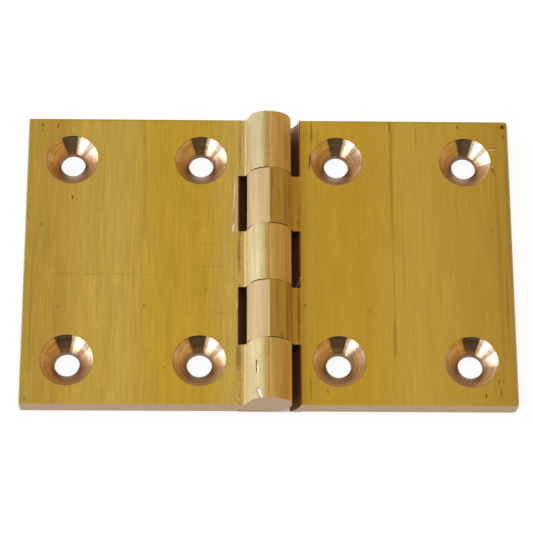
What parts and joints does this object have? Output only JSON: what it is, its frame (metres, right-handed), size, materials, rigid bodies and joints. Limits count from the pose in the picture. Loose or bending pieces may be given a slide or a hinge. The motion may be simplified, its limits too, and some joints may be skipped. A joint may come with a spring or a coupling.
{
  "type": "back flap hinge",
  "caption": "Solid drawn brass back flap hinge with wide leaves, countersunk screw holes and a fixed pin, lying open.",
  "frame": {"origin": "on the plane of the leaves' backs, under the middle of the pin", "axes": "+X across the open hinge towards the two-knuckle leaf, +Y along the pin, +Z out of the countersunk faces"},
  "size_m": [0.0804, 0.05, 0.0075],
  "materials": {
    "leaf_brass": "as drawn, fine lines along the bar, cut ends milled",
    "pin_brass": "cut and filed flush"
  },
  "bodies": {
    "fixed_leaf": {"three_knuckle_leaf": "leaf_brass", "hinge_pin": "pin_brass"},
    "flap_leaf": {"two_knuckle_leaf": "leaf_brass"}
  },
  "joints": [
    {"name": "hinge_turn", "type": "hinge", "parent": "fixed_leaf", "child": "flap_leaf", "pos_m": [0, 0, 0.00375], "axis": [0, -1, 0], "range_deg": [-80, 180]}
  ]
}
